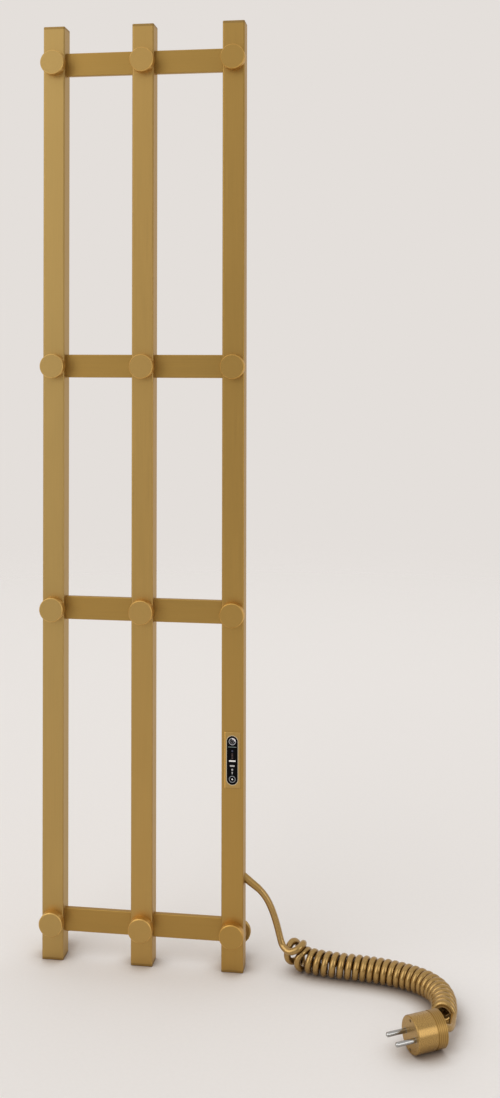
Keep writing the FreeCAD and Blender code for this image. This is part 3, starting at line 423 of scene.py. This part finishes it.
class Tree:
    """The node tree of a material or a world, with short ways to add and link its nodes."""

    def __init__(self, owner, shader="BSDF_PRINCIPLED"):
        owner.use_nodes = True
        self.tree = owner.node_tree
        self.shader = self.first(shader)

    def first(self, kind):
        """The node of this kind that the tree has from the start."""
        return next(node for node in self.tree.nodes if node.type == kind)

    def node(self, kind, inputs=None, **settings):
        made = self.tree.nodes.new(kind)
        for key, value in settings.items():
            setattr(made, key, value)
        for key, value in (inputs or {}).items():
            if isinstance(value, bpy.types.NodeSocket):
                self.tree.links.new(value, made.inputs[key])
            else:
                made.inputs[key].default_value = value
        return made

    def link(self, source, socket):
        self.tree.links.new(source, self.shader.inputs[socket])

    def number(self, operation, *values):
        return self.node("ShaderNodeMath", dict(enumerate(values)), operation=operation).outputs[0]

    def vector(self, operation, *values, output="Vector"):
        made = self.node("ShaderNodeVectorMath", dict(enumerate(values)), operation=operation)
        return made.outputs[output]

    def place(self, scale=(1, 1, 1), centre=(0, 0, 0)):
        """Object coordinates about a centre, stretched."""
        coords = self.node("ShaderNodeTexCoord").outputs["Object"]
        return self.vector("MULTIPLY", self.vector("SUBTRACT", coords, centre), scale)

    def from_axis(self, centre, axis):
        """The distance from a line through a centre along one of the frame's axes."""
        flat = [0.0 if abs(part) > 0.5 else 1.0 for part in axis]
        return self.vector("LENGTH", self.place(flat, centre), output="Value")

    def noise(self, vector, detail=3.0):
        made = self.node("ShaderNodeTexNoise", {"Vector": vector, "Scale": 1.0, "Detail": detail})
        return made.outputs["Fac"]

    def rings(self, centre, axis, scale):
        """Noise that changes only with the distance from an axis, as turning leaves it."""
        inputs = {"W": self.from_axis(centre, axis), "Scale": scale, "Detail": 2.0}
        return self.node("ShaderNodeTexNoise", inputs, noise_dimensions="1D").outputs["Fac"]

    def span(self, value, low, high, from_low=NOISE_LOW, from_high=NOISE_HIGH, **settings):
        """The value moved from one range to another, and kept inside it."""
        inputs = {"Value": value, "From Min": from_low, "From Max": from_high, "To Min": low, "To Max": high}
        return self.node("ShaderNodeMapRange", inputs, **settings).outputs["Result"]

    def nearness(self, reach, closest, farthest, **settings):
        """1 where other surfaces within reach leave little open, and 0 where they leave nearly all open."""
        opened = self.node("ShaderNodeAmbientOcclusion", {"Distance": reach}, samples=OCCLUSION_SAMPLES,
                           **settings)
        return self.span(opened.outputs["AO"], 1.0, 0.0, closest, farthest)

    def blend(self, factor, first, second):
        made = self.node("ShaderNodeMix", {"Factor": factor}, data_type="RGBA")
        made.inputs[6].default_value = (*first, 1)
        made.inputs[7].default_value = (*second, 1)
        return made.outputs[2]

    def multiply(self, first, second):
        made = self.node("ShaderNodeMix", {"Factor": 1.0, 6: first, 7: second}, data_type="RGBA",
                         blend_type="MULTIPLY")
        return made.outputs[2]

    def bump(self, height, distance):
        made = self.node("ShaderNodeBump", {"Height": height, "Distance": distance, "Strength": 1.0})
        self.link(made.outputs["Normal"], "Normal")


def finish(name, colour, metallic, rough, grain, spread=0.06, depth=0.00001, turned=None, extras=None,
           **fixed):
    """A surface whose grain varies its tone, gloss and height, over a broad slow change of tone.

    rough is the lowest and highest roughness; grain is noise per metre along X, Y and Z, or outwards alone
    where turned gives the centre and axis of a turned piece; spread and depth are how far the grain moves
    the tone and the height; extras gives masks, each with the tint that it puts on the surface; fixed are
    more of the shader's own values.
    """
    material = bpy.data.materials.new(name)
    tree = Tree(material)
    fine = tree.rings(*turned, grain[0]) if turned else tree.noise(tree.place(grain))
    broad = tree.noise(tree.place(PATINA_GRAIN), detail=2.0)
    tone = tree.blend(tree.span(fine, 0.0, 1.0), scaled(colour, 1 - spread), scaled(colour, 1 + spread))
    shade = tree.multiply(tone, tree.blend(tree.span(broad, 0.0, 1.0), PATINA_TINT, NO_TINT))
    for mask, tint in extras(tree) if extras else ():
        shade = tree.multiply(shade, tree.blend(mask, NO_TINT, tint))
    tree.link(shade, "Base Color")
    tree.link(tree.span(fine, *rough), "Roughness")
    tree.bump(fine, depth)
    tree.shader.inputs["Metallic"].default_value = metallic
    for key, value in fixed.items():
        tree.shader.inputs[key.replace("_", " ")].default_value = value
    return material


def painted_crevice_shade(reach, span, tint):
    """Painted shade: darkens what lies close in front of another part of the same piece, as between a coil's
    turns.
    """
    def masks(tree):
        return [(tree.nearness(reach, *span, only_local=True), tint)]
    return masks


def bands(centre, axis, places, half, tint):
    """Thin lines round a piece at distances along its axis, each as wide as twice the half."""
    def masks(tree):
        along = tree.vector("DOT_PRODUCT", tree.place(centre=centre), axis, output="Value")
        found = []
        for place in places:
            off = tree.number("ABSOLUTE", tree.number("SUBTRACT", along, place))
            found.append((tree.span(off, 1.0, 0.0, SOFT_EDGE * half, half), tint))
        return found
    return masks


def rim(centre, axis, radius, width, tint):
    """Tints the edge of a turned piece, from its chamfer outwards, as a painted highlight."""
    def masks(tree):
        spread = tree.from_axis(centre, axis)
        return [(tree.span(spread, 0.0, 1.0, radius - width, radius - SOFT_EDGE * width), tint)]
    return masks


# A painted highlight along the bezel's left edge.
BEZEL_HIGHLIGHT_INSET, BEZEL_HIGHLIGHT_HALF = 0.0006, 0.0009
BEZEL_HIGHLIGHT_TINT = (1.7, 1.6, 1.3)


def bezel_painted_highlight():
    """A painted highlight: a bright line down the bezel's left edge."""
    middle = middle_of("control_bezel")
    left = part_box("control_bezel")[0][0]
    return bands(middle, (1, 0, 0), [left + BEZEL_HIGHLIGHT_INSET - middle[0]], BEZEL_HIGHLIGHT_HALF, BEZEL_HIGHLIGHT_TINT)


BRASS = (0.49, 0.318, 0.107)
# The three posts and their knobs differ a little in tone; the right one is painted darker, as painted shade
# for the light that falls from the left.
POST_TONES_WITH_SHADE = {"left": (0.49, 0.323, 0.112), "middle": (0.495, 0.312, 0.100), "right": (0.46, 0.280, 0.079)}
# The crossbars are painted darker than the posts: painted shade, where they stand back between the posts.
BAR_BRASS_SHADED = (0.44, 0.267, 0.074)
# The caps are painted darker: painted shade for the darker reflection on their rounded edges.
CAP_BRASS_SHADED = (0.36, 0.225, 0.075)
SATIN = (0.40, 0.52)
# Brushing is fine across its direction and slow along it.
BRUSHED_UP, BRUSHED_ACROSS, BRUSHED_DEEP = (1500, 1500, 14), (14, 1500, 1500), (1200, 60, 1200)
BRUSHED_SPREAD = 0.05
TURNED = (1400,)
TOWARDS_WALL = (0, 1, 0)
# The knobs' rims are painted lighter: a painted highlight.
KNOB_HIGHLIGHT_WIDTH, KNOB_HIGHLIGHT_TINT = 0.0012, (1.35, 1.33, 1.25)


def node_material(name):
    """The finish of one carried-over CAD node."""
    # Each post and its knobs take their tone, the right one with painted shade.
    brass = next((tone for side, tone in POST_TONES_WITH_SHADE.items() if side in name), BRASS)
    if name.endswith("_post"):
        return finish(name + "_brass", brass, 1.0, SATIN, grain=BRUSHED_UP, spread=BRUSHED_SPREAD)
    if name.endswith("_crossbar"):
        return finish("brass_across", BAR_BRASS_SHADED, 1.0, SATIN, grain=BRUSHED_ACROSS, spread=BRUSHED_SPREAD)
    if name.endswith("_cap"):
        return finish("brass_cap", CAP_BRASS_SHADED, 1.0, SATIN, grain=BRUSHED_DEEP, spread=BRUSHED_SPREAD)
    middle = middle_of(name)
    turned = dict(grain=TURNED, turned=(middle, TOWARDS_WALL))
    if name.endswith("_spacer"):
        return finish(name + "_turned", BRASS, 1.0, SATIN, **turned)
    if name.endswith("_knob"):
        low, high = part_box(name)
        # Painted highlight on the knob's rim.
        edge = rim(middle, TOWARDS_WALL, (high[0] - low[0]) / 2, KNOB_HIGHLIGHT_WIDTH, KNOB_HIGHLIGHT_TINT)
        return finish(name + "_turned", brass, 1.0, SATIN, **turned, extras=edge)
    colour, metallic, rough, more = FINISHES[name]
    return finish(name + "_finish", colour, metallic, rough, **more)


GOLD_PVC = (0.40, 0.245, 0.075)
PLUG_GOLD = (0.40, 0.24, 0.068)
STEEL = (0.62, 0.62, 0.61)
FINE = dict(grain=(1600, 1600, 1600), depth=0.000006)
SMOOTH = dict(FINE, depth=0.000001, Specular_IOR_Level=0.03)
BLACK_GLASS = ((0.004, 0.0042, 0.0045), 0.0, (0.12, 0.2), SMOOTH)
LONG_GRAIN = dict(grain=(300, 2500, 300))
# The middle of the plug's face, the way it looks, and the grip lines behind it on the cover.
PLUG_FACE, PLUG_AHEAD = (0.3022, -0.1496, 0.018), (-0.8660, -0.5, 0.0)
GRIP_LINES = (-0.0250, -0.0272, -0.0294, -0.0316)
GRIP_LINE_HALF, GRIP_LINE_TINT = 0.0005, (0.62, 0.56, 0.46)
GRIP = bands(PLUG_FACE, PLUG_AHEAD, GRIP_LINES, GRIP_LINE_HALF, GRIP_LINE_TINT)
BEZEL = dict(grain=(1500, 1500, 20), extras=bezel_painted_highlight())
# Painted shade in the gaps between the cord's turns, darkest where the turns lie closest.
CORD_GAP_SHADE = painted_crevice_shade(0.006, (0.25, 0.85), (0.34, 0.25, 0.15))
# Each is a colour, how metallic it is, its lowest and highest roughness, and what else its finish has.
FINISHES = {
    "wall_rosettes": (BRASS, 1.0, SATIN, dict(grain=BRUSHED_DEEP)),
    "control_bezel": ((0.49, 0.31, 0.10), 1.0, (0.30, 0.42), BEZEL),
    "control_lens": BLACK_GLASS,
    "power_button": BLACK_GLASS,
    "timer_button": BLACK_GLASS,
    "plug_body": (PLUG_GOLD, 0.7, (0.24, 0.30), dict(FINE, Specular_IOR_Level=0.8)),
    "plug_cover": (PLUG_GOLD, 0.75, (0.36, 0.46), dict(FINE, extras=GRIP)),
    "plug_pins": ((0.40, 0.395, 0.385), 1.0, (0.18, 0.28), dict(grain=(1400, 1400, 200))),
    "plug_screws": ((0.10, 0.09, 0.08), 0.8, (0.35, 0.50), FINE),
    "cord_gland": ((0.34, 0.22, 0.08), 0.1, (0.40, 0.55), FINE),
    "strain_relief": (GOLD_PVC, 0.8, (0.30, 0.40), FINE),
    "cord_lead": (GOLD_PVC, 0.8, (0.22, 0.30), FINE),
    "cord_coil": (GOLD_PVC, 0.85, (0.26, 0.34), FINE),
    "cord_tail": (GOLD_PVC, 0.85, (0.26, 0.34), FINE),
    "supply_lead": (GOLD_PVC, 0.4, (0.28, 0.38), FINE),
    "knob_studs": (STEEL, 1.0, (0.25, 0.45), LONG_GRAIN),
    "spacer_nuts": (STEEL, 1.0, (0.25, 0.45), FINE),
    "spacer_bolts": (STEEL, 1.0, (0.25, 0.45), FINE),
    "spacer_grub_screws": ((0.08, 0.08, 0.08), 0.9, (0.35, 0.50), FINE),
    "board_screws": (STEEL, 1.0, (0.22, 0.40), FINE),
    "bar_bushes": ((0.72, 0.56, 0.28), 1.0, (0.25, 0.40), dict(grain=(200, 2500, 200))),
    "heating_cables": ((0.50, 0.12, 0.04), 0.0, (0.55, 0.75), FINE),
    "heater_crimps": ((0.60, 0.60, 0.58), 1.0, (0.30, 0.50), dict(grain=(2000, 2000, 300))),
    "lead_wires": ((0.62, 0.61, 0.57), 0.0, (0.50, 0.65), FINE),
    "temperature_sensor": ((0.02, 0.02, 0.02), 0.0, (0.20, 0.40), FINE),
    "thermal_cutout": ((0.72, 0.70, 0.65), 0.0, (0.45, 0.65), FINE),
    "terminal_block": ((0.68, 0.67, 0.62), 0.0, (0.35, 0.50), FINE),
    "control_tray": ((0.03, 0.03, 0.03), 0.0, (0.45, 0.60), FINE),
    "circuit_board": ((0.02, 0.10, 0.04), 0.0, (0.30, 0.45), FINE),
    "display_module": ((0.03, 0.012, 0.012), 0.0, (0.10, 0.20), FINE),
    "push_switches": ((0.04, 0.04, 0.045), 0.0, (0.35, 0.55), FINE),
}
PRINT_ROUGHNESS = (0.35, 0.5)
MARK_COLOURS = {
    "power_ring": (0.40, 0.40, 0.41),
    "power_sign": (0.16, 0.15, 0.16),
    # Painted highlight on the power ring.
    "power_light": (0.78, 0.74, 0.76),
    "timer_ring": (0.22, 0.23, 0.24),
    "timer_dot": (0.85, 0.83, 0.80),
    "panel_line": (0.17, 0.21, 0.19),
    "night_spot": (0.035, 0.04, 0.075),
    "level_scale": (0.085, 0.05, 0.045),
    "level_bar_high": (0.86, 0.84, 0.81),
    "level_bar_middle": (0.48, 0.46, 0.44),
    "level_dot": (0.45, 0.44, 0.43),
    "level_wedge": (0.45, 0.44, 0.43),
    "lens_gasket": (0.005, 0.005, 0.005),
    # Painted highlight round the lens.
    "lens_rim": (0.66, 0.55, 0.37),
}


def paint():
    """Give every CAD node, the cord, the strain relief and the marks their finish."""
    for name, node in nodes.items():
        node.data.materials.clear()
        node.data.materials.append(node_material(name))
    cord.data.materials.append(finish("cord_sheath", *FINISHES["cord_lead"][:3], **FINE, extras=CORD_GAP_SHADE,
                                      Coat_Weight=0.3, Coat_Roughness=0.12))
    relief.data.materials.append(finish("relief_sheath", *FINISHES["strain_relief"][:3], **FINE))
    for name, piece in marks.items():
        ink = finish(name + "_print", MARK_COLOURS[name], 0.0, PRINT_ROUGHNESS, **FINE)
        piece.data.materials.append(ink)


paint()

# ---------------------------------------------------------------- floor and light
FLOOR = (0.875, 0.843, 0.818)
FLOOR_CORNERS = [(-6, -6, 0), (6, -6, 0), (6, 8, 0), (-6, 8, 0)]
FLOOR_GRAIN, FLOOR_SPREAD = (260, 260, 260), 0.01
FLOOR_ROUGHNESS, FLOOR_GLOSS = (0.75, 0.85), 0.15
# The floor is whole near its middle and clear beyond the second distance.
FLOOR_MIDDLE, FLOOR_FADE = (0.1, 0.2, 0), (0.9, 3.0)
# A painted shadow on the floor, darker where the object stands close by.
PAINTED_SHADOW_REACH, PAINTED_SHADOW_SPAN, PAINTED_SHADOW_TINT = 0.022, (0.35, 0.95), (0.50, 0.44, 0.39)
BACKDROP = (0.776, 0.738, 0.708)
# The room that lights the object: its colour, and its strength at the two ends of each axis.
ROOM = (0.80, 0.79, 0.78)
ROOM_FRONT_TO_BACK, ROOM_LEFT_TO_RIGHT, ROOM_DOWN_TO_UP = (0.52, 1.0), (1.08, 0.92), (0.80, 1.40)
# How far backwards a mirrored ray points where it starts to see the backdrop, and where it sees only that.
MIRROR_FADE = (0.1, 0.5)


def make_floor():
    """A wide pale floor with a painted shadow where the object stands close by, that fades into the
    backdrop.
    """
    piece = mesh_object("floor", FLOOR_CORNERS, [(0, 1, 2, 3)], smooth=False)
    scene.collection.objects.link(piece)
    material = bpy.data.materials.new("floor")
    tree = Tree(material)
    grain = tree.noise(tree.place(FLOOR_GRAIN))
    darker, paler = scaled(FLOOR, 1 - FLOOR_SPREAD), scaled(FLOOR, 1 + FLOOR_SPREAD)
    shade = tree.blend(tree.span(grain, 0.0, 1.0), darker, paler)
    # Painted shadow: the floor is darkened near the object.
    painted_shadow = tree.blend(tree.nearness(PAINTED_SHADOW_REACH, *PAINTED_SHADOW_SPAN), NO_TINT, PAINTED_SHADOW_TINT)
    tree.link(tree.multiply(shade, painted_shadow), "Base Color")
    tree.link(tree.span(grain, *FLOOR_ROUGHNESS), "Roughness")
    tree.shader.inputs["Specular IOR Level"].default_value = FLOOR_GLOSS
    outwards = tree.from_axis(FLOOR_MIDDLE, UP)
    fade = tree.span(outwards, 0.0, 1.0, *FLOOR_FADE, interpolation_type="SMOOTHSTEP")
    clear = tree.node("ShaderNodeBsdfTransparent").outputs[0]
    mix = tree.node("ShaderNodeMixShader", {0: fade, 1: tree.shader.outputs[0], 2: clear})
    tree.tree.links.new(mix.outputs[0], tree.first("OUTPUT_MATERIAL").inputs["Surface"])
    piece.data.materials.append(material)
    return piece


def make_world():
    """The backdrop's colour to the camera; a room that is darker in front of the rack to everything else."""
    world = bpy.data.worlds.new("world")
    scene.world = world
    tree = Tree(world, "BACKGROUND")
    coords = tree.node("ShaderNodeTexCoord").outputs["Generated"]
    ray = tree.node("ShaderNodeSeparateXYZ", {0: coords}).outputs
    level = tree.number("MULTIPLY", tree.span(ray["Y"], *ROOM_FRONT_TO_BACK, -1.0, 1.0),
                        tree.span(ray["X"], *ROOM_LEFT_TO_RIGHT, -1.0, 1.0))
    level = tree.number("MULTIPLY", level, tree.span(ray["Z"], *ROOM_DOWN_TO_UP, -1.0, 1.0))
    path = tree.node("ShaderNodeLightPath").outputs
    mirrored = tree.number("MAXIMUM", path["Is Glossy Ray"], path["Is Transmission Ray"])
    mirrored = tree.number("MULTIPLY", mirrored, tree.span(ray["Y"], 0.0, 1.0, *MIRROR_FADE))
    shown = tree.number("MAXIMUM", path["Is Camera Ray"], mirrored)
    tree.link(tree.node("ShaderNodeMix", {0: shown, 2: level, 3: 1.0}).outputs[0], "Strength")
    tree.link(tree.blend(shown, ROOM, BACKDROP), "Color")


def aimed(name, kind, place, aim, spared=None, **settings):
    """A lamp at a place, turned to a point; it leaves the spared piece alone."""
    data = bpy.data.lights.new(name, kind)
    for key, value in settings.items():
        setattr(data, key, value)
    light = bpy.data.objects.new(name, data)
    light.location = place
    light.rotation_mode = "QUATERNION"
    light.rotation_quaternion = (Vector(aim) - Vector(place)).to_track_quat("-Z", "Y")
    scene.collection.objects.link(light)
    if spared:
        receivers = bpy.data.collections.new(name + "_receivers")
        receivers.objects.link(spared)
        receivers.collection_objects[0].light_linking.link_state = "EXCLUDE"
        light.light_linking.receiver_collection = receivers


floor = make_floor()
make_world()
aimed("sun", "SUN", place=(-1.0, -1.2, 1.7), aim=(0, 0, 0.45), angle=math.radians(60), energy=0.7)
aimed("left_box", "AREA", place=(-1.1, -1.3, 0.8), aim=(0.1, 0, 0.4), spared=floor,
      shape="RECTANGLE", size=0.7, size_y=1.6, energy=4.0)
aimed("right_box", "AREA", place=(1.25, -0.75, 0.55), aim=(0.3, -0.1, 0.1), spared=floor,
      shape="RECTANGLE", size=0.5, size_y=0.8, energy=2.3)
scene.view_settings.view_transform = "Standard"
